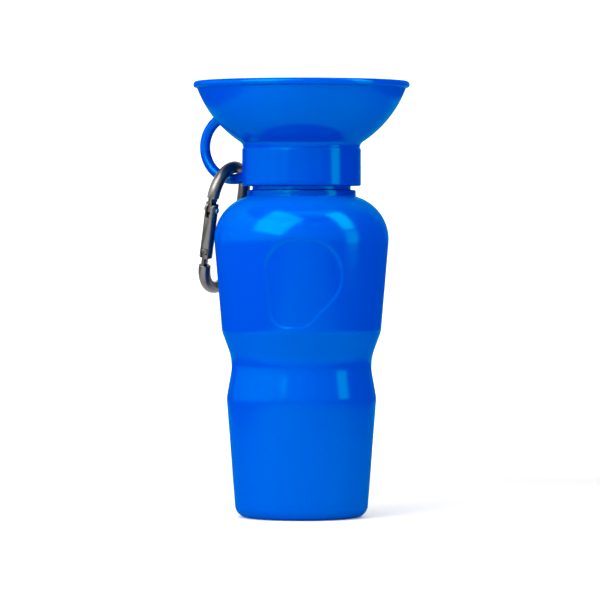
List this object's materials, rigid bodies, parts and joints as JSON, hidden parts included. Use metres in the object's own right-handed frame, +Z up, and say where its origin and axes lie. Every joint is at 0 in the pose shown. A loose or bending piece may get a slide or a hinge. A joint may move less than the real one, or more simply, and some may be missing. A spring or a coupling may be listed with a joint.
{
  "type": "dog travel water bottle",
  "caption": "Squeeze water bottle for dogs with a wide screw-on drinking bowl, a twist valve with a dip tube, and a snap hook on a carry ring.",
  "frame": {"origin": "centre of the bottle's foot circle, in the plane it stands on", "axes": "+Z up along the bottle's axis; -Y towards the thumb recess at the front; +X to the right seen from the front, so the carry ring is on the -X side, 26 degrees round to the back"},
  "size_m": [0.1136, 0.1136, 0.229],
  "materials": {
    "bottle_plastic": "glossy azure, slightly translucent",
    "bowl_plastic": "glossy azure",
    "valve_plastic": "satin moulded plastic",
    "silicone": "soft matte silicone",
    "rubber": "matte",
    "tube_plastic": "translucent, satin",
    "hook_metal": "gunmetal anodised, glossy",
    "steel": "plain steel"
  },
  "bodies": {
    "bottle": {"bottle": "bottle_plastic"},
    "insert": {"neck_insert": "valve_plastic", "plug_seal": "silicone", "mouth_gasket": "rubber", "insert_oring": "rubber", "dip_tube": "tube_plastic"},
    "seat": {"seat_seal": "silicone"},
    "bowl": {"bowl": "bowl_plastic"},
    "carabiner": {"carabiner_frame": "hook_metal", "gate_rivet": "steel"},
    "gate": {"carabiner_gate": "hook_metal", "gate_spring": "steel"},
    "plunger": {"spring_plunger": "steel"}
  },
  "joints": [
    {"name": "head_lift", "type": "slide", "parent": "bottle", "child": "insert", "axis": [0, 0, 1], "range_m": [0, 0.19]},
    {"name": "bowl_rise", "type": "slide", "parent": "insert", "child": "seat", "axis": [0, 0, 1], "range_m": [0, 0.0061]},
    {"name": "bowl_twist", "type": "hinge", "parent": "seat", "child": "bowl", "pos_m": [0, 0, 0.19], "axis": [0, 0, 1], "range_deg": [0, 540]},
    {"name": "carabiner_swing", "type": "hinge", "parent": "bowl", "child": "carabiner", "pos_m": [-0.03523, 0.01718, 0.18413], "axis": [0.5, 0.866, 0], "range_deg": [0, 100]},
    {"name": "gate_swing", "type": "hinge", "parent": "carabiner", "child": "gate", "pos_m": [-0.0474, 0.00851, 0.16177], "axis": [0.8345, -0.4818, -0.2672], "range_deg": [0, 25], "stiffness_Nm_per_rad": 0.12, "springref_deg": -14.32},
    {"name": "plunger_slide", "type": "slide", "parent": "gate", "child": "plunger", "axis": [-0.1224, 0.3108, -0.9426], "range_m": [0, 0.0009], "stiffness_N_per_m": 1, "springref_m": -0.0021, "deforming": ["gate_spring"]}
  ],
  "couplings": [
    {"joint": "bowl_rise", "follows": "bowl_twist", "m_per_rad": 0.00063662},
    {"joint": "plunger_slide", "follows": "gate_swing", "m_per_rad": 0.0019}
  ]
}
